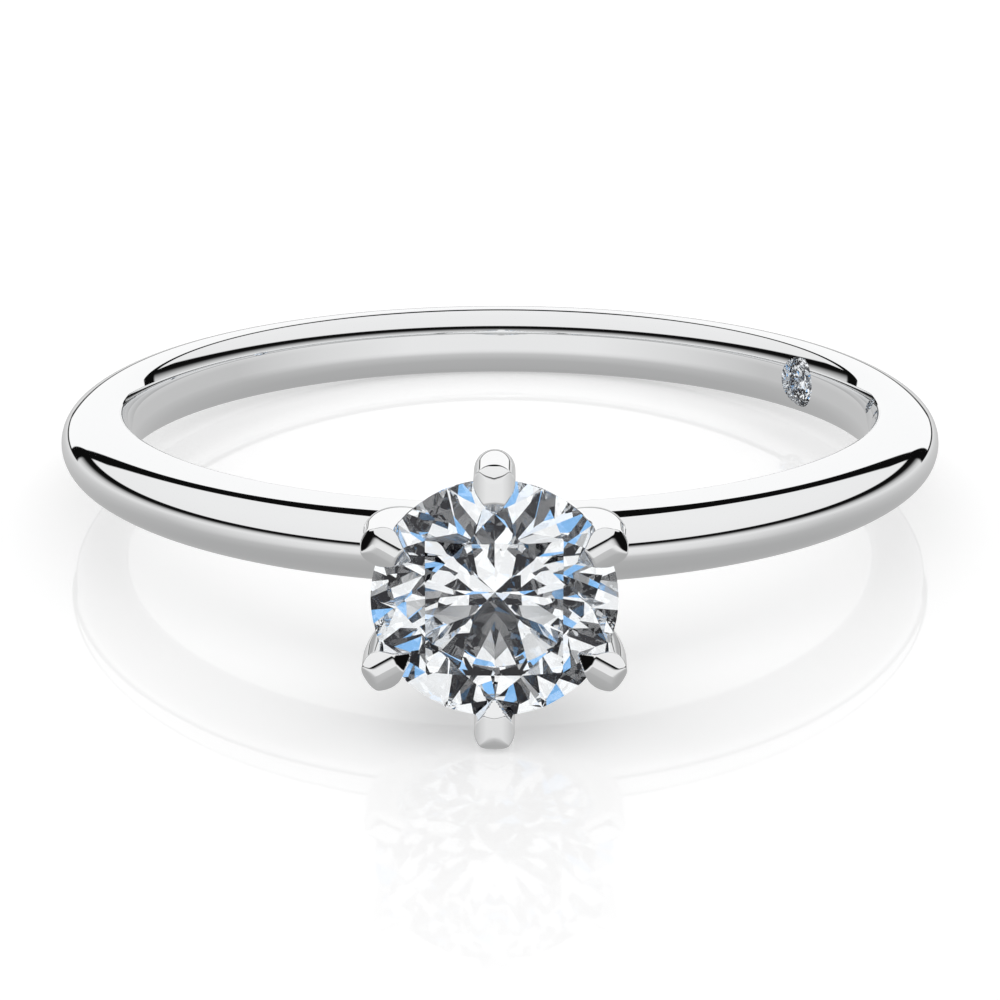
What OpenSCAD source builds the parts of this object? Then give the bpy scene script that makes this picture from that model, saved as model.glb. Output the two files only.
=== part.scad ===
// Six-claw solitaire engagement ring, modelled lying on its side.
// The finger axis is Z, the stone faces -Y, and the origin is the centre of the finger hole.

/* [Finger hole and band] */
// Inside diameter of the band where it touches the finger
finger_d = 16.92; // [14:0.01:22]
// Thickness of the band, from the finger hole to its outer surface
band_t = 1.54; // [1.2:0.01:2.4]
// Width of the band along the finger
band_w = 1.68; // [1.4:0.01:2.6]
// Depth of the rounded inner edges, from the finger hole to the widest place of the section
comfort_depth = 0.4; // [0.2:0.01:0.6]
// Length of the straight wall in the middle of the finger hole
land_w = 0.3; // [0.2:0.01:0.6]

/* [Centre stone] */
// Diameter of the stone at its girdle
stone_d = 4.8; // [3.6:0.05:6.5]
// Height of the stone's culet above the outer surface of the band
culet_rise = 0.47; // [0.4:0.01:1.2]
// Turn of the facets about the stone's axis, in degrees
stone_turn = 22.5; // [0:0.5:45]

/* [Hidden accent stone] */
// Diameter of the small stone set in the inner wall
accent_d = 1.2; // [0.8:0.05:1.3]
// Angle of the small stone round the band from the point opposite the centre stone, in degrees
accent_angle = 58; // [30:1:120]
// Depth of its table below the wall of the finger hole
accent_sink = 0.03; // [0.01:0.01:0.1]

/* [Cut of both stones] */
// Table across its corners, as a part of the girdle's diameter
table_part = 0.6; // [0.52:0.01:0.66]
// Slope of the eight large crown facets, in degrees
crown_slope = 34.5; // [31:0.5:38]
// Slope of the eight large pavilion facets, in degrees
pavilion_slope = 40.8; // [39:0.1:43]
// Girdle thickness where it is thickest, as a part of the girdle's diameter
girdle_part = 0.03; // [0.026:0.001:0.05]
// Length of the star facets, as a part of the way from the table to the girdle
star_part = 0.52; // [0.4:0.01:0.65]
// Length of the lower halves, as a part of the way from the girdle to the culet
lower_part = 0.77; // [0.65:0.01:0.88]

/* [Claws] */
// Diameter of the wire that the claws are made of
claw_d = 0.8; // [0.6:0.05:1.0]
// How deep the girdle is let into the claws
seat_depth = 0.3; // [0.15:0.05:0.4]
// Height of the claw tips above the middle of the girdle
claw_top = 0.84; // [0.7:0.02:1.1]
// How far the points of the claws reach in over the stone from the edge of its girdle
claw_reach = 0.58; // [0.4:0.02:0.9]
// Lean of the claws where they stand on the collet, in degrees from the stone's axis
claw_splay = 46; // [40:1:52]

/* [Collet, peg and gallery rail] */
// Diameter of the ball-shaped collet that the claws stand on
collet_d = 3.0; // [2.6:0.05:3.4]
// Height that the whole ball would reach above the outer surface of the band
collet_rise = 0.65; // [0.5:0.05:0.9]
// How far the collet's skirt reaches down past the outer surface of the band
skirt_depth = 0.3; // [0.1:0.05:0.5]
// Clear height between the top of the collet and the culet of the stone
culet_room = 0.2; // [0.1:0.05:0.6]
// Diameter of the peg through the collet into the band
peg_d = 0.9; // [0.7:0.05:1.1]
// Depth of the peg's hole in the band
peg_depth = 0.9; // [0.6:0.05:1.0]
// Diameter of the gallery rail's wire
rail_d = 0.5; // [0.4:0.05:0.6]
// Depth of the gallery rail below the girdle, as a part of the depth from the girdle to the culet
rail_part = 0.586; // [0.54:0.002:0.7]
// How deep the rail is let into the inner side of the claws
rail_bite = 0.2; // [0.1:0.02:0.3]

/* [Fits] */
// Gap that is left for solder between two pieces of metal
solder_gap = 0.01; // [0.005:0.005:0.02]
// Gap between a stone and its seat
stone_gap = 0.01; // [0.005:0.005:0.02]

/* [Hidden] */
$fn = 96;

WHITE_GOLD = "#D9DADC";
DIAMOND = "#CFE3F2";

// Cut: the tips of the large facets lie just inside the girdle, and the facets reach just past it
TIPS_PART = 0.994;
FAR_PART = 1.027;
// Angle between neighbouring large facets, and from a large facet to the half facets beside it
MAIN_STEP = 45;
HALF_STEP = 22.5;

// Band section: x is the distance from the finger axis, y runs along the finger
bore_r = finger_d / 2;
band_r = bore_r + band_t;
half_w = band_w / 2;
wide_r = bore_r + comfort_depth;
// Outer half: a nose arc that is tangent to two flank arcs
NOSE_PART = 0.8;
nose_r = half_w * NOSE_PART;
nose_x = band_t - comfort_depth - nose_r;
flank_r = (pow(nose_x, 2) + pow(half_w, 2) - pow(nose_r, 2)) / (2 * (half_w - nose_r));
flank_x = nose_x * flank_r / (flank_r - nose_r);
// Inner half: a small edge arc that is tangent to a shoulder arc, beside the straight land
crown_w = half_w - land_w / 2;
EDGE_PART = 0.75;
edge_r = comfort_depth * EDGE_PART;
edge_y = crown_w - edge_r;
shoulder_r = (pow(edge_y, 2) + pow(comfort_depth, 2) - pow(edge_r, 2)) / (2 * (comfort_depth - edge_r));
shoulder_y = edge_y * shoulder_r / (shoulder_r - edge_r);

// Head: z runs out along the stone's axis from the middle of the girdle
stone_r = stone_d / 2;
stone_rise = culet_rise - culet_z(tips_r(stone_r));
girdle_y = band_r + stone_rise;
band_z = -stone_rise;
collet_r = collet_d / 2;
collet_z = band_z + collet_rise - collet_r;
collet_top = culet_z(tips_r(stone_r)) - culet_room;
claw_r = claw_d / 2;
claw_x = stone_r + claw_r - seat_depth;
// The claw's wire is straight up at the girdle and points at the collet's centre at its foot
bend_r = (-collet_z * tan(claw_splay) - claw_x) / (1 / cos(claw_splay) - 1);
bend_x = claw_x - bend_r;
foot_run = -collet_z / cos(claw_splay) - bend_r * tan(claw_splay);
claw_out = claw_x + claw_r;
point_x = stone_r - claw_reach;
rail_drop = -rail_part * culet_z(tips_r(stone_r));
rail_x = bend_x + sqrt(pow(bend_r, 2) - pow(rail_drop, 2)) - claw_r - rail_d / 2 + rail_bite;

// Accent stone
accent_r = accent_d / 2;
accent_girdle = bore_r + accent_sink + table_z(tips_r(accent_r));
MARGIN = 1;

// ---- Cut of a round brilliant, z = 0 at the middle of the girdle ----
// In the functions r is the radius where the tips of the large facets meet, just inside the girdle

function tips_r(girdle_r) = girdle_r * TIPS_PART;
function girdle_half(r) = r * girdle_part;
function table_r(r) = r * table_part;
function table_z(r) = girdle_half(r) + (r - table_r(r)) * tan(crown_slope);
function star_r(r) = table_r(r) * cos(HALF_STEP) + star_part * (r - table_r(r) * cos(HALF_STEP));
function star_z(r) = girdle_half(r) + (r - star_r(r) * cos(HALF_STEP)) * tan(crown_slope);
function lower_r(r) = r * (1 - lower_part);
function lower_z(r) = -girdle_half(r) - (r - lower_r(r) * cos(HALF_STEP)) * tan(pavilion_slope);
function culet_z(r) = -girdle_half(r) - r * tan(pavilion_slope);
function at(r, a, z) = [r * cos(a), r * sin(a), z];
// Height at radius far, on the plane through three points, in the direction a
function plane_z(p, q, s, far, a) =
    let (n = cross(q - p, s - p))
    p[2] - (n[0] * (far * cos(a) - p[0]) + n[1] * (far * sin(a) - p[1])) / n[2];

// Eight main directions, eight half directions, and the half facets' reach past the round girdle
function mains(r, z) = [for (k = [0:7]) at(r, MAIN_STEP * k, z)];
function halves(r, z) = [for (k = [0:7]) at(r, MAIN_STEP * k + HALF_STEP, z)];
function girdle_far(r) = r * FAR_PART;
function far_main(r, z, inner_r, inner_z) =
    plane_z(at(r, 0, z), at(r, HALF_STEP, z), at(inner_r, HALF_STEP, inner_z), girdle_far(r), 0);
function far_half(r, z, inner_r, inner_z) =
    z - (inner_z - z) / (r - inner_r) * (girdle_far(r) - r);

function brilliant_points(r) =
    let (g = girdle_half(r), far = girdle_far(r))
    concat(
        mains(table_r(r), table_z(r)),
        halves(star_r(r), star_z(r)),
        mains(r, g),
        mains(far, far_main(r, g, star_r(r), star_z(r))),
        halves(far, far_half(r, g, star_r(r), star_z(r))),
        mains(far, far_main(r, -g, lower_r(r), lower_z(r))),
        halves(far, far_half(r, -g, lower_r(r), lower_z(r))),
        mains(r, -g),
        halves(lower_r(r), lower_z(r)),
        [[0, 0, culet_z(r)]]);

// Each ring of eight points starts at a multiple of eight in the list above
TABLE = 0;
STAR = 8;
MAIN_UP = 16;
FAR_MAIN_UP = 24;
FAR_HALF_UP = 32;
FAR_MAIN_LOW = 40;
FAR_HALF_LOW = 48;
MAIN_LOW = 56;
LOWER = 64;
CULET = 72;

function brilliant_faces() =
    let (n = [1, 2, 3, 4, 5, 6, 7, 0], b = [7, 0, 1, 2, 3, 4, 5, 6])
    concat(
        [[for (k = [7:-1:0]) TABLE + k]],
        [for (k = [0:7]) [TABLE + k, TABLE + n[k], STAR + k]],
        [for (k = [0:7]) [TABLE + k, STAR + k, MAIN_UP + k, STAR + b[k]]],
        [for (k = [0:7]) [STAR + k, FAR_HALF_UP + k, FAR_MAIN_UP + k, MAIN_UP + k]],
        [for (k = [0:7]) [STAR + b[k], MAIN_UP + k, FAR_MAIN_UP + k, FAR_HALF_UP + b[k]]],
        [for (k = [0:7]) [FAR_MAIN_UP + k, FAR_HALF_UP + k, FAR_HALF_LOW + k, FAR_MAIN_LOW + k]],
        [for (k = [0:7]) [FAR_HALF_UP + b[k], FAR_MAIN_UP + k, FAR_MAIN_LOW + k, FAR_HALF_LOW + b[k]]],
        [for (k = [0:7]) [FAR_HALF_LOW + k, LOWER + k, MAIN_LOW + k, FAR_MAIN_LOW + k]],
        [for (k = [0:7]) [LOWER + b[k], FAR_HALF_LOW + b[k], FAR_MAIN_LOW + k, MAIN_LOW + k]],
        [for (k = [0:7]) [CULET, LOWER + b[k], MAIN_LOW + k, LOWER + k]]);

module brilliant(girdle_r) {
    intersection() {
        polyhedron(brilliant_points(tips_r(girdle_r)), brilliant_faces(), convexity = 2);
        cylinder(r = girdle_r, h = 4 * girdle_r, center = true);
    }
}

// Round room that a stone of this girdle radius takes up in the metal
module stone_room(girdle_r, gap) {
    r = tips_r(girdle_r);
    rotate_extrude()
        polygon([
            [0, culet_z(r) - gap],
            [girdle_r + gap, -girdle_half(r) - gap],
            [girdle_r + gap, girdle_half(r) + gap],
            [star_r(r) + gap, star_z(r) + gap],
            [table_r(r) + gap, table_z(r) + gap],
            [0, table_z(r) + gap]]);
}

// ---- Placing ----

// From head axes (z out along the stone, y along the finger) to the ring's own frame
module in_head() {
    translate([0, -girdle_y, 0]) rotate([90, 0, 0]) children();
}

// From radial axes (x out from the stone's axis) to the claw at a clock position
module at_clock(hour) {
    rotate([0, 0, 90 - 30 * hour]) children();
}

// ---- Band ----

module band_section(gap = 0) {
    // Outer half of the oval
    intersection() {
        translate([wide_r, half_w - flank_r]) circle(r = flank_r + gap);
        translate([wide_r, flank_r - half_w]) circle(r = flank_r + gap);
        translate([wide_r, -band_w]) square([flank_x, 2 * band_w]);
    }
    translate([wide_r + nose_x, 0]) circle(r = nose_r + gap);
    // Straight land and the rounded inner edges beside it
    translate([bore_r - gap, -land_w / 2]) square([comfort_depth + 2 * gap, land_w]);
    for (side = [-1, 1]) inner_edge(side, gap);
}

module inner_edge(side, gap) {
    translate([wide_r, side * (land_w / 2 + edge_y)]) circle(r = edge_r + gap);
    intersection() {
        translate([bore_r + shoulder_r, side * land_w / 2]) circle(r = shoulder_r + gap);
        translate([bore_r - gap, side > 0 ? 0 : -land_w / 2 - shoulder_y])
            square([comfort_depth + 2 * gap, land_w / 2 + shoulder_y]);
    }
}

module shank() {
    color(WHITE_GOLD) difference() {
        rotate_extrude() band_section();
        in_head() peg_hole();
        accent_place() accent_seat();
    }
}

// Hole for the peg, drilled from the outer surface towards the finger
module peg_hole() {
    translate([0, 0, band_z - peg_depth])
        cylinder(r = peg_d / 2 + solder_gap, h = peg_depth + MARGIN);
}

// ---- Head ----

module base_collet() {
    color(WHITE_GOLD) difference() {
        in_head() intersection() {
            translate([0, 0, collet_z]) sphere(r = collet_r);
            translate([0, 0, band_z - skirt_depth])
                cylinder(r = collet_d, h = collet_top - band_z + skirt_depth);
        }
        rotate_extrude() band_section(solder_gap);
        in_head() peg_hole();
    }
}

module peg() {
    color(WHITE_GOLD) in_head()
        translate([0, 0, band_z - peg_depth + solder_gap])
            cylinder(r = peg_d / 2, h = collet_top - band_z + peg_depth - solder_gap);
}

module rail_ring(gap = 0) {
    translate([0, 0, -rail_drop])
        rotate_extrude() translate([rail_x, 0]) circle(r = rail_d / 2 + gap);
}

module gallery_rail() {
    color(WHITE_GOLD) in_head() rail_ring();
}

// Wire of a claw from the collet up past the girdle, in the plane of x and z
module claw_wire() {
    translate([bend_x, 0, 0]) rotate([90, 0, 0])
        rotate([0, 0, -claw_splay]) rotate_extrude(angle = claw_splay)
            translate([bend_r, 0]) circle(r = claw_r);
    translate([bend_x, 0, 0]) rotate([0, claw_splay, 0]) translate([bend_r, 0, -foot_run])
        cylinder(r = claw_r, h = foot_run);
    translate([claw_x, 0, 0]) cylinder(r = claw_r, h = claw_top / 2);
}

// Shape of the claw tips, as parts of the wire's radius and of the reach
SHOULDER_PART = 0.9;
ROOF_PART = 0.6;
EAVES_PART = 1.1;
EAVES_FALL = 0.55;
KNEE_PART = 0.6;
KNEE_FALL = 0.12;

// Plan of the tip: the round of the wire drawn in to a point over the stone
module tip_plan() {
    reach = claw_x - point_x;
    touch = acos(claw_r / reach);
    translate([claw_x, 0]) circle(r = claw_r);
    polygon([
        [point_x, 0],
        [claw_x - claw_r * cos(touch), -claw_r * sin(touch)],
        [claw_x, 0],
        [claw_x - claw_r * cos(touch), claw_r * sin(touch)]]);
}

// Side view of the tip: straight back, round shoulder, flat roof and a bevelled point
module tip_side() {
    shoulder = claw_r * SHOULDER_PART;
    roof_x = point_x + claw_reach * ROOF_PART;
    difference() {
        polygon([
            [point_x, 0],
            [point_x, star_z(tips_r(stone_r))],
            [roof_x, claw_top],
            [claw_out, claw_top],
            [claw_out, 0]]);
        difference() {
            translate([claw_out - shoulder, claw_top - shoulder]) square(shoulder + MARGIN);
            translate([claw_out - shoulder, claw_top - shoulder]) circle(r = shoulder);
        }
    }
}

// Front view of the tip: a low ridge along the middle with sloping sides
module tip_front() {
    eaves = claw_r * EAVES_PART;
    knee = claw_r * KNEE_PART;
    eaves_z = claw_top - claw_r * EAVES_FALL;
    knee_z = claw_top - claw_r * KNEE_FALL;
    polygon([
        [-eaves, 0],
        [-eaves, eaves_z],
        [-knee, knee_z],
        [0, claw_top],
        [knee, knee_z],
        [eaves, eaves_z],
        [eaves, 0]]);
}

module claw_tip() {
    intersection() {
        linear_extrude(claw_top + MARGIN) tip_plan();
        translate([0, claw_d, 0]) rotate([90, 0, 0]) linear_extrude(2 * claw_d) tip_side();
        rotate([90, 0, 90]) linear_extrude(claw_out + MARGIN) tip_front();
    }
}

module claw(hour) {
    color(WHITE_GOLD) in_head() difference() {
        at_clock(hour) {
            claw_wire();
            claw_tip();
        }
        stone_room(stone_r, stone_gap);
        rail_ring(solder_gap);
        translate([0, 0, collet_z]) sphere(r = collet_r + solder_gap);
    }
}

module center_stone() {
    color(DIAMOND) in_head() rotate([0, 0, stone_turn]) brilliant(stone_r);
}

// ---- Hidden accent stone ----

// From stone axes (table towards +z) to its place in the inner wall, table towards the finger
module accent_place() {
    rotate([0, 0, -accent_angle]) translate([0, accent_girdle, 0]) rotate([90, 0, 0]) children();
}

module accent_seat() {
    stone_room(accent_r, stone_gap);
    cylinder(r = accent_r + stone_gap, h = accent_girdle);
}

module accent_stone() {
    color(DIAMOND) accent_place() brilliant(accent_r);
}

shank();
base_collet();
peg();
gallery_rail();
claw(12);  // claw_12_oclock
claw(2);  // claw_2_oclock
claw(4);  // claw_4_oclock
claw(6);  // claw_6_oclock
claw(8);  // claw_8_oclock
claw(10);  // claw_10_oclock
center_stone();
accent_stone();
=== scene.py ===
# %% [markdown]
# # A six-claw solitaire ring
# The ring lies on its side and the stone looks forward, towards -Y. The finger axis is Z, and the
# origin is the centre of the finger hole. The CAD meshes are made of short straight facets, and a
# mirror shows each one of them as a kink in its reflections, so each piece is made again here as a
# much finer mesh of the same shape, and stands in for its CAD part.

# %% Open the frame
import bpy, bmesh
import numpy as np
from math import sin, cos, tan, atan2, acos, pi, radians, degrees, sqrt
from mathutils import Matrix, Vector


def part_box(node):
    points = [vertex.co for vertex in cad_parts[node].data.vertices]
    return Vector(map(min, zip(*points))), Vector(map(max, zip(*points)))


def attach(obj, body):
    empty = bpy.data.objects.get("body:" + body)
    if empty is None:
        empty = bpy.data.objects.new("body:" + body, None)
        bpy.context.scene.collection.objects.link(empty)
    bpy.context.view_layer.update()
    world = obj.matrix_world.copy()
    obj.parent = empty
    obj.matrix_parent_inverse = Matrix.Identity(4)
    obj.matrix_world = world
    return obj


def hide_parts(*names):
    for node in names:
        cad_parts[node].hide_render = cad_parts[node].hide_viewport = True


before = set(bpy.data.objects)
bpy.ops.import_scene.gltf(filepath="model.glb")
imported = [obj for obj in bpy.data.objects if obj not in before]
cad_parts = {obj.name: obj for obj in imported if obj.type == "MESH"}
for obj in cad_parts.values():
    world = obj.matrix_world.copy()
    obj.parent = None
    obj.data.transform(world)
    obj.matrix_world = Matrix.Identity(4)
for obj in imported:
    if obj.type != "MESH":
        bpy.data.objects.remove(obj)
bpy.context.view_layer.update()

# %% [markdown]
# ## The measures
# The finger size, the section of the band and the stone are given in millimetres.
# The pieces are worked in millimetres too, because cutting tools are surer on numbers near one, and
# shrunk to metres at the end.

# %% Measures of the band and the stone
MM = 0.001
bore_r, band_t, half_w = 8.46, 1.54, 0.84
band_r = bore_r + band_t
comfort, land = 0.4, 0.15
wide_r = bore_r + comfort
stone_r, accent_r = 2.4, 0.6
solder_gap, stone_gap = 0.01, 0.01
print("band", 2 * band_r, "mm across,", 2 * half_w, "mm wide; stone", 2 * stone_r, "mm")

# %% [markdown]
# ## The cut of the stones
# Both stones are round brilliants: a flat table, eight stars, eight mains and sixteen halves on the
# crown, then sixteen halves and eight mains on the pavilion. Each facet is a flat plane ground at its
# own angle, so the list of planes is the cut. These few radii and heights place them, as parts of the
# girdle's radius.

# %% Heights of the cut
crown_slope, pavilion_slope = radians(34.5), radians(40.8)
main_step, half_step = radians(45), radians(22.5)

def cut_of(girdle_r):
    r = 0.994 * girdle_r
    g = 0.03 * r
    table = 0.6 * r
    table_flat = table * cos(half_step)
    star = table_flat + 0.52 * (r - table_flat)
    lower = r * (1 - 0.77)
    return dict(r=r, g=g, table=table, table_z=g + (r - table) * tan(crown_slope), table_flat=table_flat,
                star=star, star_z=g + (r - star * cos(half_step)) * tan(crown_slope),
                lower=lower, lower_z=-g - (r - lower * cos(half_step)) * tan(pavilion_slope),
                culet_z=-g - r * tan(pavilion_slope))

cut, accent_cut = cut_of(stone_r), cut_of(accent_r)
stone_rise = 0.47 - cut["culet_z"]
girdle_y = band_r + stone_rise
print("girdle stands", round(stone_rise, 3), "mm above the band; stone is",
      round(cut["table_z"] - cut["culet_z"], 2), "mm deep")

# %% [markdown]
# ## The camera
# A ring is looked at through a long lens from a little above the table, so the band shows as a flat
# oval and the stone faces the lens. The camera stands 76.7 mm from the middle of the finger hole and
# looks slightly below it, which leaves room for the reflection in front.

# %% Set the camera
camera_distance = 76.7 * MM
camera_rise, camera_turn, camera_dip = radians(15.06), radians(0.48), radians(1.21)
camera_data = bpy.data.cameras.new("camera")
camera_data.lens, camera_data.sensor_width = 120.1, 36.0
camera_data.clip_start, camera_data.clip_end = 0.005, 20.0
camera = bpy.data.objects.new("camera", camera_data)
bpy.context.scene.collection.objects.link(camera)
camera.location = Vector((sin(camera_turn) * cos(camera_rise), -cos(camera_turn) * cos(camera_rise),
                          sin(camera_rise))) * camera_distance
camera.rotation_euler = (pi / 2 - camera_rise - camera_dip, 0, camera_turn)
bpy.context.scene.camera = camera
bpy.context.scene.view_settings.view_transform = "Standard"
print("camera at", [round(c * 1000, 1) for c in camera.location], "mm")

# %% [markdown]
# ## The light
# Polished metal has no look of its own: it shows the room. The studio is a white tent over the table.
# Between the tent and the table a dark gap runs all round, low above the horizon, and behind the ring
# stands a white card with a dark gap about it. These gaps are the thin black lines that draw the
# band's roundness. The room could be built from cards and lamps, but a world shader is simpler: it
# takes the direction that a ray leaves in and answers with the brightness there. One ramp runs from
# straight down to straight up. Below the horizon it is the table, which is brighter when seen from
# the front, so a second ramp is mixed in there.

# %% Tools for node trees
def node_of(tree, kind, **settings):
    made = tree.nodes.new(kind)
    for key, value in settings.items():
        setattr(made, key, value)
    return made

def maths(tree, operation, first, second=0.0):
    made = node_of(tree, "ShaderNodeMath", operation=operation)
    for socket, value in zip(made.inputs, (first, second)):
        if isinstance(value, (int, float)):
            socket.default_value = value
        else:
            tree.links.new(value, socket)
    return made.outputs[0]

def ramped(tree, value, stops):
    """A smooth grey ramp: stops are (value, brightness), in rising order."""
    low, high = stops[0][0], stops[-1][0]
    ramp = node_of(tree, "ShaderNodeValToRGB")
    spread = node_of(tree, "ShaderNodeMapRange")
    spread.inputs["From Min"].default_value, spread.inputs["From Max"].default_value = low, high
    tree.links.new(value, spread.inputs["Value"])
    tree.links.new(spread.outputs["Result"], ramp.inputs["Fac"])
    elements = ramp.color_ramp.elements
    elements[1].color = (stops[-1][1],) * 3 + (1,)
    elements[0].color = (stops[0][1],) * 3 + (1,)
    for place, level in stops[1:-1]:
        elements.new((place - low) / (high - low)).color = (level, level, level, 1)
    return ramp.outputs["Color"]

def mixed(tree, share, first, second):
    made = node_of(tree, "ShaderNodeMix", data_type="RGBA")
    for socket, value in ((made.inputs[0], share), (made.inputs[6], first), (made.inputs[7], second)):
        if isinstance(value, tuple):
            socket.default_value = value
        else:
            tree.links.new(value, socket)
    return made.outputs[2]

print("node tools ready")

# %% Hang the tent
tent = bpy.data.worlds.new("studio_tent")
bpy.context.scene.world = tent
tent.use_nodes = True
tree = tent.node_tree
tree.nodes.clear()
look, parts = node_of(tree, "ShaderNodeTexCoord"), node_of(tree, "ShaderNodeSeparateXYZ")
tree.links.new(look.outputs["Generated"], parts.inputs[0])
right, back, up = parts.outputs
rise = maths(tree, "MULTIPLY", maths(tree, "ARCSINE", up), 180 / pi)
aside = maths(tree, "ABSOLUTE", right)
swing = maths(tree, "MULTIPLY", maths(tree, "ARCTAN2", aside, maths(tree, "MULTIPLY", back, -1.0)), 180 / pi)

tent_levels = [(10, 0.01), (12, 0.004), (16.2, 0.004), (17.2, 0.86), (45, 0.88), (90, 0.9)]
table_side = [(-90, 0.4), (-45, 0.42), (-28, 0.46), (-18, 0.52), (-8, 0.62), (-1, 0.78), (4, 0.6)]
table_front = [(-90, 0.4), (-45, 0.44), (-28, 0.56), (-20, 0.78), (-14, 0.84), (-1, 0.84), (4, 0.6)]
from_side = ramped(tree, rise, table_side + tent_levels)
from_front = ramped(tree, rise, table_front + tent_levels)
frontal = ramped(tree, swing, [(0, 1.0), (30, 1.0), (60, 0.6), (95, 0.0), (180, 0.0)])
room = mixed(tree, frontal, from_side, from_front)

depth = maths(tree, "MAXIMUM", back, 0.001)
card_x, card_z = maths(tree, "DIVIDE", aside, depth), maths(tree, "DIVIDE", up, depth)

def oval(tree, width, height, power, soft):
    """1 inside a rounded card, 0 outside it."""
    over_table = maths(tree, "MAXIMUM", card_z, 0.0)
    spread = maths(tree, "ADD", maths(tree, "POWER", maths(tree, "DIVIDE", card_x, width), power),
                   maths(tree, "POWER", maths(tree, "DIVIDE", over_table, height), power))
    return ramped(tree, spread, [(0.0, 1.0), (1.0 - soft, 1.0), (1.0 + soft, 0.0), (2.0, 0.0)])

black, white = (0.004, 0.004, 0.004, 1), (1.0, 1.0, 1.0, 1)
gap_shape = {"width": 0.92, "height": 4.6, "power": 4.0, "soft": 0.08}
card_shape = {"width": 0.71, "height": 1.72, "power": 2.6, "soft": 0.03}
behind = ramped(tree, back, [(-1.0, 0.0), (0.0, 0.0), (0.01, 1.0), (1.0, 1.0)])
gap_foot = ramped(tree, up, [(-1.0, 0.0), (-0.03, 0.0), (-0.02, 1.0), (1.0, 1.0)])
card_foot = ramped(tree, up, [(-1.0, 0.0), (0.01, 0.0), (0.02, 1.0), (1.0, 1.0)])
gap = maths(tree, "MULTIPLY", maths(tree, "MULTIPLY", oval(tree, **gap_shape), gap_foot), behind)
card = maths(tree, "MULTIPLY", maths(tree, "MULTIPLY", oval(tree, **card_shape), card_foot), behind)
room = mixed(tree, gap, room, black)
room = mixed(tree, card, room, white)
print("white card and dark gap stand behind the ring")

# %% [markdown]
# ## What the stones see
# A brilliant throws back whatever stands before it, so it needs dark things as well as white ones.
# Dark flags and pale blue gels round the tent would do that, but they would show in the metal too. So
# this is a trick that no real studio can do: only rays that leave a stone meet the pattern of cells
# and the dark lens in front, and the metal still sees the calm tent. The sizes are given below.

# %% Stand flags and gels round the stones
lens_way, lens_half, lens_soft = (0.008, -0.966, 0.259), 17, 4
flag_part, gel_part, cell_scale, cell_soft = 0.31, 0.87, 2.4, 0.03
flag_black, tent_white, gel_blue = (0.004, 0.004, 0.006, 1), (1.25, 1.25, 1.25, 1), (0.3, 0.68, 1.2, 1)
path, cells, facing = (node_of(tree, kind) for kind in
                       ("ShaderNodeLightPath", "ShaderNodeTexVoronoi", "ShaderNodeVectorMath"))
cells.inputs["Scale"].default_value = cell_scale
tree.links.new(look.outputs["Generated"], cells.inputs["Vector"])
cell_parts = node_of(tree, "ShaderNodeSeparateXYZ")
tree.links.new(cells.outputs["Color"], cell_parts.inputs[0])
facing.operation = "DOT_PRODUCT"
facing.inputs[1].default_value = lens_way
tree.links.new(look.outputs["Generated"], facing.inputs[0])
off_lens = maths(tree, "MULTIPLY", maths(tree, "ARCCOSINE", facing.outputs["Value"]), 180 / pi)
shade = cell_parts.outputs[0]
flags = ramped(tree, shade, [(0, 1.0), (flag_part, 1.0), (flag_part + cell_soft, 0.0), (1, 0.0)])
gels = ramped(tree, shade, [(0, 0.0), (gel_part, 0.0), (gel_part + cell_soft, 1.0), (1, 1.0)])
lens = ramped(tree, off_lens, [(0, 1.0), (lens_half, 1.0), (lens_half + lens_soft, 0.0), (180, 0.0)])
sparkle = mixed(tree, flags, tent_white, flag_black)
sparkle = mixed(tree, gels, sparkle, gel_blue)
sparkle = mixed(tree, lens, sparkle, flag_black)
room = mixed(tree, path.outputs["Is Transmission Ray"], room, sparkle)

glow, sky = node_of(tree, "ShaderNodeBackground"), node_of(tree, "ShaderNodeOutputWorld")
tree.links.new(room, glow.inputs["Color"])
tree.links.new(glow.outputs[0], sky.inputs["Surface"])
print("the dark gap stands from", tent_levels[0][0], "to", tent_levels[2][0], "degrees above the table")

# %% [markdown]
# ## The floor
# The ring lies on a sheet of white acrylic. It rests on the lowest claw and on the far edge of the
# band, so the sheet leans a few degrees against the ring's own frame. The angle comes from those two
# resting places. The sheet is smooth, so it holds a faint mirror image under the ring.

# %% Lay the floor
claw_box, band_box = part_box("claw_6_oclock"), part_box("shank")
front_rest = Vector((0, claw_box[0][1] + 0.36 * MM, claw_box[0][2]))
back_rest = Vector((0, band_box[1][1] - 1.0 * MM, band_box[0][2]))
floor_lean = atan2(back_rest.z - front_rest.z, back_rest.y - front_rest.y)
floor_mesh = bpy.data.meshes.new("floor")
reach = 3.0
floor_mesh.from_pydata([(-reach, -reach, 0), (reach, -reach, 0), (reach, reach, 0), (-reach, reach, 0)],
                       [], [(0, 1, 2, 3)])
floor = bpy.data.objects.new("floor", floor_mesh)
bpy.context.scene.collection.objects.link(floor)
floor.matrix_world = Matrix.Translation(front_rest) @ Matrix.Rotation(floor_lean, 4, "X")
floor.visible_glossy = False
floor.visible_transmission = False
acrylic = bpy.data.materials.new("white_acrylic")
acrylic.use_nodes = True
sheet = acrylic.node_tree.nodes["Principled BSDF"]
sheet.inputs["Base Color"].default_value = (1.0, 1.0, 1.0, 1)
sheet.inputs["Roughness"].default_value = 0.03
sheet.inputs["Specular IOR Level"].default_value = 0.35
sheet.inputs["Emission Color"].default_value = (1.0, 1.0, 1.0, 1)
sheet.inputs["Emission Strength"].default_value = 0.28
floor_mesh.materials.append(acrylic)
print("floor leans", round(degrees(floor_lean), 2), "degrees")

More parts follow.
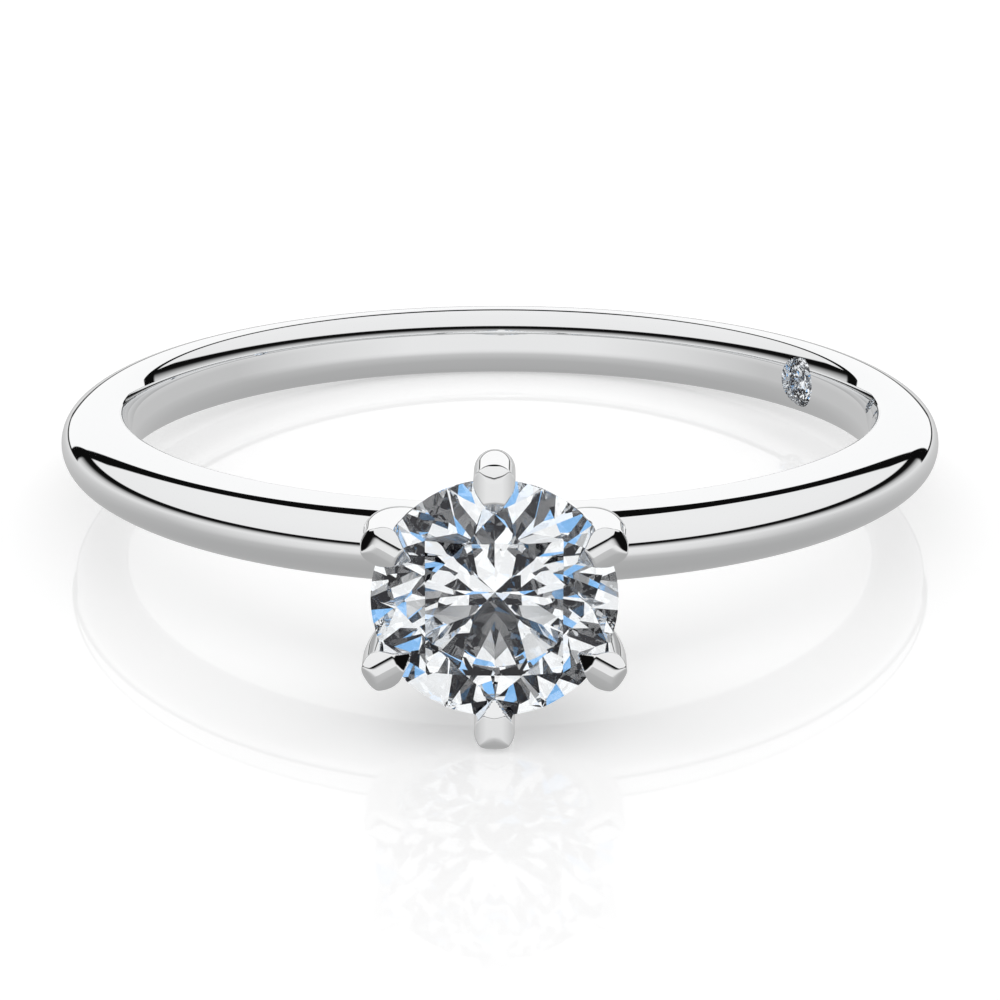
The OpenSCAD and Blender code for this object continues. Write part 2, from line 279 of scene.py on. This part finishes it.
# %% [markdown]
# ## White gold
# The band and the setting are white gold under a thin coat of rhodium, polished to a mirror. A metal
# is a Principled shader with Metallic at 1. A perfect mirror looks like computer glass, so noise
# moves the roughness a little, as rubbing on cloth does. The surface itself is left quite smooth: a
# new ring at this size shows no hairline marks, so there is no bump.

# %% Mix the white gold
white_gold = bpy.data.materials.new("white_gold")
white_gold.use_nodes = True
tree = white_gold.node_tree
metal = tree.nodes["Principled BSDF"]
metal.inputs["Base Color"].default_value = (0.94, 0.945, 0.95, 1)
metal.inputs["Metallic"].default_value = 1.0
where = node_of(tree, "ShaderNodeTexCoord")
smears = node_of(tree, "ShaderNodeTexNoise")
smears_per_metre, smear_detail = 900.0, 3.0
gloss_low, gloss_high = 0.015, 0.045
smears.inputs["Scale"].default_value = smears_per_metre
smears.inputs["Detail"].default_value = smear_detail
gloss = node_of(tree, "ShaderNodeMapRange")
gloss.inputs["To Min"].default_value = gloss_low
gloss.inputs["To Max"].default_value = gloss_high
tree.links.new(where.outputs["Object"], smears.inputs["Vector"])
tree.links.new(smears.outputs["Fac"], gloss.inputs["Value"])
tree.links.new(gloss.outputs["Result"], metal.inputs["Roughness"])
print("white gold ready")

# %% [markdown]
# ## Diamond
# Diamond bends light by 2.42, far more than any glass, so most rays that enter the crown are turned
# back by the pavilion and leave through the crown again. One glass shader could do it, but here the
# bent light and the mirror image are two shaders shared out by the Fresnel law, so that the mirror
# image on the outside can be held down. A white tent mirrored at full strength washes out the dark
# facets. A real diamond mirrors more, so this is a choice of looks. Inside the stone nothing is held
# down. A very faint drift between cool and warm white is made up, so that the body isn't one colour.

# %% Mix the diamond
diamond = bpy.data.materials.new("diamond")
diamond.use_nodes = True
tree = diamond.node_tree
tree.nodes.clear()
surface, bent, mirror, gem, fresnel, side, place, grain = (
    node_of(tree, "ShaderNode" + kind) for kind in
    ("OutputMaterial", "BsdfRefraction", "BsdfGlossy", "MixShader",
     "Fresnel", "NewGeometry", "TexCoord", "TexNoise"))
diamond_bend, drifts_per_mm = 2.42, 0.4
cool_white, warm_white = (0.95, 0.975, 1.0, 1), (1.0, 0.995, 0.985, 1)
held_down, full = (0.3, 0.3, 0.32, 1), (1, 1, 1, 1)
grain.inputs["Scale"].default_value = drifts_per_mm / MM
tree.links.new(place.outputs["Object"], grain.inputs["Vector"])
body = mixed(tree, grain.outputs["Fac"], cool_white, warm_white)
tree.links.new(body, bent.inputs["Color"])
bent.inputs["Roughness"].default_value = 0.0
mirror.inputs["Roughness"].default_value = 0.0
bent.inputs["IOR"].default_value = fresnel.inputs["IOR"].default_value = diamond_bend
shine = mixed(tree, side.outputs["Backfacing"], held_down, full)
tree.links.new(shine, mirror.inputs["Color"])
for source, socket in ((fresnel, 0), (bent, 1), (mirror, 2)):
    tree.links.new(source.outputs[0], gem.inputs[socket])
tree.links.new(gem.outputs[0], surface.inputs["Surface"])
bpy.context.scene.cycles.max_bounces = 24
bpy.context.scene.cycles.transmission_bounces = 24
bpy.context.scene.cycles.glossy_bounces = 12
print("diamond ready")

# %% [markdown]
# ## Turning
# Most pieces of a ring are turned: a closed outline is swept round an axis. Blender's Screw modifier
# can do it, but a few lines of code give full say over the number of steps, and a mirror finish needs
# many. The outline is a list of radius and height, in order round the piece.

# %% Helpers for turned pieces
def arc(centre, radius, start, end, steps):
    return [(centre[0] + radius * cos(start + (end - start) * k / steps),
             centre[1] + radius * sin(start + (end - start) * k / steps)) for k in range(steps + 1)]

def turned(name, outline, steps=384):
    turns = np.linspace(0, 2 * pi, steps, endpoint=False)
    ring = np.array(outline)
    points = np.stack([np.outer(np.cos(turns), ring[:, 0]), np.outer(np.sin(turns), ring[:, 0]),
                       np.outer(np.ones(steps), ring[:, 1])], axis=2).reshape(-1, 3)
    across, count = len(ring), len(ring) * steps
    corner = np.arange(count).reshape(steps, across)
    a, b = corner, np.roll(corner, -1, axis=0)
    faces = np.stack([a, b, np.roll(b, -1, axis=1), np.roll(a, -1, axis=1)], axis=2).reshape(-1, 4)
    mesh = bpy.data.meshes.new(name)
    mesh.from_pydata(points.tolist(), [], faces.tolist())
    form = bmesh.new()
    form.from_mesh(mesh)
    bmesh.ops.remove_doubles(form, verts=form.verts, dist=1e-6)
    bmesh.ops.delete(form, geom=[edge for edge in form.edges if not edge.link_faces], context="EDGES")
    bmesh.ops.recalc_face_normals(form, faces=form.faces)
    form.to_mesh(mesh)
    form.free()
    piece = bpy.data.objects.new(name, mesh)
    bpy.context.scene.collection.objects.link(piece)
    return piece

# %% [markdown]
# ## Sawing and smoothing
# A seat or a hole is sawn with the Boolean modifier in its exact mode. The saw leaves large
# many-sided faces beside the cut, and smooth shading would bend the reflections there. So each piece
# keeps a rule for the true direction of its polished surface, and after sawing this direction is
# written back onto every face that still follows it.

# %% Helpers for sawing and smoothing
def saw(piece, *tools):
    for tool in tools:
        step = piece.modifiers.new("saw", "BOOLEAN")
        step.operation, step.solver, step.object = "DIFFERENCE", "EXACT", tool
    graph = bpy.context.evaluated_depsgraph_get()
    piece.modifiers.update()
    sawn = bpy.data.meshes.new_from_object(piece.evaluated_get(graph), depsgraph=graph)
    piece.modifiers.clear()
    piece.data = sawn
    return piece

def drop(*tools):
    for tool in tools:
        bpy.data.objects.remove(tool)

def polish(piece, true_direction, agree=0.97):
    mesh = piece.data
    mesh.shade_smooth()
    count, corners = len(mesh.polygons), len(mesh.loops)
    points = np.empty(len(mesh.vertices) * 3)
    mesh.vertices.foreach_get("co", points)
    points = points.reshape(-1, 3)
    owner, flat = np.empty(corners, int), np.empty(count * 3)
    mesh.loops.foreach_get("vertex_index", owner)
    mesh.polygons.foreach_get("normal", flat)
    sizes = np.empty(count, int)
    mesh.polygons.foreach_get("loop_total", sizes)
    flat = np.repeat(flat.reshape(-1, 3), sizes, axis=0)
    true = true_direction(points[owner])
    kept = (true * flat).sum(axis=1) > agree
    whole_face = np.repeat(np.minimum.reduceat(kept, np.r_[0, np.cumsum(sizes)[:-1]]), sizes)
    mesh.normals_split_custom_set(np.where(whole_face[:, None], true, flat).tolist())
    return int(whole_face.sum())

def unit(vectors):
    return vectors / np.maximum(np.linalg.norm(vectors, axis=-1, keepdims=True), 1e-12)

def finish_piece(piece, place, material, slot, *nodes):
    piece.data.transform(Matrix.Scale(MM, 4) @ place)
    piece.data.materials.clear()
    piece.data.materials.append(material)
    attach(piece, "root")
    if nodes:
        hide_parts(*nodes)
    print(piece.name, "has", len(piece.data.polygons), "faces")

# %% [markdown]
# ## The band
# The band is one drawn wire of white gold, bent round and closed. Its section is a soft oval outside,
# and inside it is comfort fitted: the edges roll over large curves into a narrow straight land, so
# the ring slips over the knuckle. The outline is built from circular arcs that meet without a corner,
# because the reflections would show any corner as a break.

# %% Outline of the band's section
nose_r = 0.8 * half_w
nose_x = band_t - comfort - nose_r
flank_r = (nose_x ** 2 + half_w ** 2 - nose_r ** 2) / (2 * (half_w - nose_r))
nose_end = atan2(flank_r - half_w, nose_x)
edge_r = 0.75 * comfort
edge_y = half_w - land - edge_r
shoulder_r = (edge_y ** 2 + comfort ** 2 - edge_r ** 2) / (2 * (comfort - edge_r))
edge_end = atan2(edge_y, comfort - shoulder_r)

def band_outline(gap=0.0, fineness=1):
    upper = (arc((wide_r + nose_x, 0), nose_r + gap, 0, nose_end, 30 * fineness)
             + arc((wide_r, half_w - flank_r), flank_r + gap, nose_end, pi / 2, 20 * fineness)[1:]
             + arc((wide_r, land + edge_y), edge_r + gap, pi / 2, edge_end, 20 * fineness)[1:]
             + arc((bore_r + shoulder_r, land), shoulder_r + gap, edge_end, pi, 20 * fineness)[1:])
    return upper + [(r, -s) for r, s in reversed(upper[1:])]

def band_direction(points):
    r, s = np.hypot(points[:, 0], points[:, 1]), np.abs(points[:, 2])
    nose = np.arctan2(s, r - wide_r - nose_x) < nose_end
    shoulder = np.arctan2(s - land, r - bore_r - shoulder_r) > edge_end
    out = np.where(r >= wide_r, np.where(nose, r - wide_r - nose_x, r - wide_r),
                   np.where(s <= land, -1.0, np.where(shoulder, r - bore_r - shoulder_r, r - wide_r)))
    along = np.where(r >= wide_r, np.where(nose, s, s - half_w + flank_r),
                     np.where(s <= land, 0.0, np.where(shoulder, s - land, s - land - edge_y)))
    spread = np.stack([out * points[:, 0] / r, out * points[:, 1] / r, along * np.sign(points[:, 2])], axis=1)
    return unit(spread)

print("section outline has", len(band_outline()), "points; nose radius", round(nose_r, 3))

# %% [markdown]
# ## The hidden stone's seat
# A small brilliant is let into the inner wall, with its table towards the finger. Its seat is the
# stone's own profile and a round opening to the finger hole, sawn out of the band together with the
# peg's hole.

# %% Turn the band and saw the seat
accent_girdle = bore_r + 0.03 + accent_cut["table_z"]
accent_place = (Matrix.Rotation(radians(-58), 4, "Z") @ Matrix.Translation((0, accent_girdle, 0))
                @ Matrix.Rotation(pi / 2, 4, "X"))
head_place = Matrix(((1, 0, 0, 0), (0, 0, -1, -girdle_y), (0, 1, 0, 0), (0, 0, 0, 1)))
peg_r, peg_depth = 0.45, 0.9

band = turned("band", band_outline(), steps=512)
seat_r = accent_r + stone_gap
seat = turned("seat_saw", [(0, accent_cut["culet_z"] - stone_gap), (seat_r, -accent_cut["g"] - stone_gap),
                           (seat_r, 1.2), (0, 1.2)], steps=96)
seat.data.transform(accent_place)
drill = turned("drill", [(0, -stone_rise - peg_depth), (peg_r + solder_gap, -stone_rise - peg_depth),
                         (peg_r + solder_gap, -stone_rise + 1), (0, -stone_rise + 1)], steps=96)
drill.data.transform(head_place)
saw(band, seat, drill)
drop(seat, drill)
print("corners that follow the true band:", polish(band, band_direction))
finish_piece(band, Matrix(), white_gold, "white_gold", "shank")

# %% [markdown]
# ## The collet, the peg and the gallery rail
# Behind the stone the claws stand on a small ball-shaped collet, which is filed to straddle the band.
# A peg runs through the collet into the band and holds the head for soldering. The gallery rail is a
# ring of thin wire let into the inner side of the claws, and keeps them from spreading. All three are
# turned about the stone's axis.

# %% Turn the collet, the peg and the rail
collet_r, collet_z = 1.5, -stone_rise - 0.85
collet_top, collet_foot = cut["culet_z"] - 0.2, -stone_rise - 0.3
softening = 0.05
top_turn = acos((collet_top - collet_z) / collet_r)
top_r, foot_r = collet_r * sin(top_turn), sqrt(collet_r ** 2 - (collet_foot - collet_z) ** 2)
foot_turn = atan2(collet_foot - collet_z, foot_r)
hole_r = peg_r + solder_gap
ball = arc((0, collet_z), collet_r, foot_turn, pi / 2 - top_turn - softening / collet_r, 48)
rim = [(top_r - 0.4 * softening, collet_top - 0.08 * softening), (top_r - softening, collet_top)]
collet = turned("collet", ball + rim + [(hole_r, collet_top), (hole_r, collet_foot)], steps=192)
collet.data.transform(head_place)
band_room = turned("band_room", band_outline(solder_gap), steps=384)
saw(collet, band_room)
drop(band_room)

def ball_direction(points):
    centre = np.array([0, -girdle_y - collet_z, 0])
    return unit(points - centre)

polish(collet, ball_direction)
finish_piece(collet, Matrix(), white_gold, "white_gold", "base_collet")

peg_foot = -stone_rise - peg_depth + solder_gap
peg = turned("peg", [(0, peg_foot), (peg_r - softening, peg_foot)]
             + arc((peg_r - softening, peg_foot + softening), softening, -pi / 2, 0, 6)
             + arc((peg_r - softening, collet_top - softening), softening, 0, pi / 2, 6)
             + [(0, collet_top)], steps=96)
peg.data.shade_smooth()
peg.data.set_sharp_from_angle(angle=radians(35))
finish_piece(peg, head_place, white_gold, "white_gold", "peg")

claw_r, claw_top, claw_splay = 0.4, 0.84, radians(46)
claw_x = stone_r + claw_r - 0.3
point_x = stone_r - 0.58
bend_r = (-collet_z * tan(claw_splay) - claw_x) / (1 / cos(claw_splay) - 1)
bend_x = claw_x - bend_r
foot_run = -collet_z / cos(claw_splay) - bend_r * tan(claw_splay)
rail_r, rail_z = 0.25, 0.586 * cut["culet_z"]
rail_x = bend_x + sqrt(bend_r ** 2 - rail_z ** 2) - claw_r - rail_r + 0.2
rail = turned("gallery_rail_wire", arc((rail_x, rail_z), rail_r, 0, 2 * pi, 48)[:-1], steps=256)
rail.data.shade_smooth()
finish_piece(rail, head_place, white_gold, "white_gold", "gallery_rail")
print("collet top", round(collet_top, 3), "mm, rail", round(2 * rail_x, 2), "mm across its middle")

# %% [markdown]
# ## The claws
# Six claws of round wire rise from the collet, bend upright beside the girdle and are filed to a
# point over the stone. Seen from the front, a tip is a drop shape with a domed back, a low ridge
# along the middle and sides that fall away. A file makes such a tip by taking one surface after
# another off the wire, and the code does the same: each surface is a distance function, the largest
# of them is the tip, and a soft maximum rounds the edges as polishing does. Rays cast outwards from
# the middle of the wire find the skin of the claw.

# %% Shape of a claw
def soft_max(a, b, soft):
    return np.maximum(a, b) + np.maximum(soft - np.abs(a - b), 0) ** 2 / (4 * soft)

touch = acos(claw_r / (claw_x - point_x))
roof_x, dome_r = point_x + 0.6 * 0.58, 0.9 * claw_r
bevel = unit(np.array([cut["star_z"] - claw_top, roof_x - point_x]))

def tip_skin(x, y, z):
    run, turn = np.hypot(x - claw_x, y), np.abs(np.arctan2(y, claw_x - x))
    plan = run * np.cos(np.maximum(touch - turn, 0)) - claw_r
    dome_x, dome_z = x - claw_x - claw_r + dome_r, z - claw_top + dome_r
    dome = np.where(dome_x > 0, np.hypot(dome_x, np.maximum(dome_z, 0)) - dome_r, dome_z - dome_r)
    front = bevel[0] * (x - point_x) + bevel[1] * (z - cut["star_z"])
    roof = []
    for (y0, z0), (y1, z1) in zip([(0, 0), (0.6, -0.12)], [(0.6, -0.12), (1.1, -0.55)]):
        lean = unit(np.array([z0 - z1, y1 - y0]))
        roof.append(lean[0] * (np.abs(y) - y0 * claw_r) + lean[1] * (z - claw_top - z0 * claw_r))
    sides = soft_max(roof[0], roof[1], 0.06)
    return soft_max(soft_max(plan, soft_max(dome, sides, 0.03), 0.03), front, 0.02)

def wire_skin(x, y, z):
    turn = np.arctan2(-z, x - bend_x)
    bend = np.hypot(x - bend_x, z) - bend_r
    foot_x, foot_z = x - bend_x - bend_r * cos(claw_splay), z + bend_r * sin(claw_splay)
    foot = foot_x * cos(claw_splay) - foot_z * sin(claw_splay)
    return np.hypot(np.where(turn > claw_splay, foot, bend), y) - claw_r

def claw_skin(points):
    x, y, z = points[..., 0], points[..., 1], points[..., 2]
    return np.where(z >= 0, tip_skin(x, y, z), wire_skin(x, y, z))

def claw_direction(points, step=1e-4):
    moves = np.eye(3) * step
    return unit(np.stack([claw_skin(points + move) - claw_skin(points - move) for move in moves], axis=-1))

print("tip plan is straight within", round(degrees(touch), 1), "degrees of its point")

# %% Cast the claw's skin
def claw_rays(around=96):
    turns = np.linspace(0, 2 * pi, around, endpoint=False)
    starts, heads = [], []

    def ring(x, z, out, up, tilt=0.0):
        level = np.stack([np.cos(turns) * out[0], np.sin(turns), np.cos(turns) * out[1]], axis=1)
        heads.append(cos(tilt) * level + sin(tilt) * np.array([up[0], 0, up[1]]))
        starts.append(np.tile([x, 0, z], (around, 1)))

    out, up = (cos(claw_splay), -sin(claw_splay)), (sin(claw_splay), cos(claw_splay))
    foot = (bend_x + bend_r * cos(claw_splay), -bend_r * sin(claw_splay))
    for run in np.linspace(foot_run - 1.2, 0, 12, endpoint=False):
        ring(foot[0] - up[0] * run, foot[1] - up[1] * run, out, up)
    for turn in np.linspace(claw_splay, 0, 40)[:-1]:
        ring(bend_x + bend_r * cos(turn), -bend_r * sin(turn), (cos(turn), -sin(turn)), (sin(turn), cos(turn)))
    for z in np.linspace(0, 0.45, 40):
        ring(claw_x - 0.05 * z / 0.45, z, (1, 0), (0, 1))
    for tilt in np.linspace(0, pi / 2, 60)[1:-1]:
        ring(claw_x - 0.05, 0.45, (1, 0), (0, 1), tilt)
    return np.array(starts), np.array(heads)

def claw_mesh(name, around=96):
    starts, heads = claw_rays(around)
    near, far = np.zeros(starts.shape[:2]), np.full(starts.shape[:2], 1.2)
    for _ in range(40):
        middle = (near + far) / 2
        inside = claw_skin(starts + heads * middle[..., None]) < 0
        near, far = np.where(inside, middle, near), np.where(inside, far, middle)
    rings = starts + heads * near[..., None]
    corner = np.arange(rings.shape[0] * around).reshape(-1, around)
    faces = np.stack([corner[:-1], np.roll(corner[:-1], -1, 1), np.roll(corner[1:], -1, 1), corner[1:]],
                     axis=2).reshape(-1, 4).tolist()
    faces += [corner[0][::-1].tolist(), corner[-1].tolist()]
    mesh = bpy.data.meshes.new(name)
    mesh.from_pydata(rings.reshape(-1, 3).tolist(), [], faces)
    piece = bpy.data.objects.new(name, mesh)
    bpy.context.scene.collection.objects.link(piece)
    return piece

def room_outline(shape, girdle_r, gap):
    return [(0, shape["culet_z"] - gap), (girdle_r + gap, -shape["g"] - gap),
            (girdle_r + gap, shape["g"] + gap),
            (shape["star"] + gap, shape["star_z"] + gap), (shape["table"] + gap, shape["table_z"] + gap),
            (0, shape["table_z"] + gap)]

for hour in (12, 2, 4, 6, 8, 10):
    claw = claw_mesh(f"claw_at_{hour}")
    clock = Matrix.Rotation(radians(90 - 30 * hour), 4, "Z")
    stone_room = turned("stone_room", room_outline(cut, stone_r, stone_gap), steps=384)
    rail_room = turned("rail_room", arc((rail_x, rail_z), rail_r + solder_gap, 0, 2 * pi, 32)[:-1], steps=256)
    ball_room = turned("ball_room", arc((0, collet_z), collet_r + solder_gap, -pi / 2, pi / 2, 64), steps=128)
    saw(claw, stone_room, rail_room, ball_room)
    drop(stone_room, rail_room, ball_room)
    polish(claw, claw_direction)
    finish_piece(claw, head_place @ clock, white_gold, "white_gold", f"claw_{hour}_oclock")

# %% [markdown]
# ## Cutting the stones
# A lapidary grinds one flat plane after another on a round blank. The facets of such a stone only
# ever bulge outwards, so it is enough to know where they meet: the smallest skin stretched round
# those points is the stone. The code lists the planes, finds the wavy edges that they leave on the
# round girdle, adds the corners of the table, stars, mains and halves, and lets a convex hull stretch
# the skin. Facets stay flat and sharp, because the light needs them so.

# %% Grind the facets
def polar(radius, angle, z):
    return np.array([radius * cos(angle), radius * sin(angle), z])

def facet_planes(shape, side):
    """Planes of the crown (side 1) or of the pavilion (side -1), as a point and an outward direction."""
    r, level = shape["r"], side * shape["g"]
    slope = crown_slope if side > 0 else pavilion_slope
    inner, inner_z = (shape["star"], shape["star_z"]) if side > 0 else (shape["lower"], shape["lower_z"])
    planes = []
    for k in range(8):
        main, half = k * main_step, k * main_step + half_step
        planes.append((polar(r, main, level), polar(sin(slope), main, side * cos(slope))))
        for beside in (main, main + main_step):
            lean = np.cross(polar(r, half, level) - polar(r, beside, level),
                            polar(inner, half, inner_z) - polar(r, beside, level))
            planes.append((polar(r, beside, level), lean * np.sign(lean[2]) * side))
    return planes

def height_on(planes, x, y, side):
    heights = [p[2] - (n[0] * (x - p[0]) + n[1] * (y - p[1])) / n[2] for p, n in planes]
    return min(heights) if side > 0 else max(heights)

def brilliant(name, shape, girdle_r, steps):
    corners = [(0, 0, shape["culet_z"])]
    for k in range(8):
        main, half = k * main_step, k * main_step + half_step
        corners += [polar(shape["table"], main, shape["table_z"]), polar(shape["star"], half, shape["star_z"]),
                    polar(shape["r"], main, shape["g"]), polar(shape["r"], main, -shape["g"]),
                    polar(shape["lower"], half, shape["lower_z"])]
    for side in (1, -1):
        planes = facet_planes(shape, side)
        for turn in np.linspace(0, 2 * pi, steps, endpoint=False):
            x, y = girdle_r * cos(turn), girdle_r * sin(turn)
            corners.append((x, y, height_on(planes, x, y, side)))
    form = bmesh.new()
    for corner in corners:
        form.verts.new(corner)
    bmesh.ops.convex_hull(form, input=form.verts)
    bmesh.ops.delete(form, geom=[vert for vert in form.verts if not vert.link_faces], context="VERTS")
    bmesh.ops.dissolve_limit(form, angle_limit=radians(0.2), verts=form.verts, edges=form.edges)
    bmesh.ops.recalc_face_normals(form, faces=form.faces)
    mesh = bpy.data.meshes.new(name)
    form.to_mesh(mesh)
    form.free()
    stone = bpy.data.objects.new(name, mesh)
    bpy.context.scene.collection.objects.link(stone)
    facets = sum(abs(face.normal.z) > 0.05 for face in mesh.polygons)
    print(name, "has", facets, "facets")
    return stone

stone = brilliant("center_brilliant", cut, stone_r, 256)
finish_piece(stone, head_place @ Matrix.Rotation(half_step, 4, "Z"), diamond, "diamond", "center_stone")
small_stone = brilliant("accent_brilliant", accent_cut, accent_r, 128)
finish_piece(small_stone, accent_place, diamond, "diamond", "accent_stone")
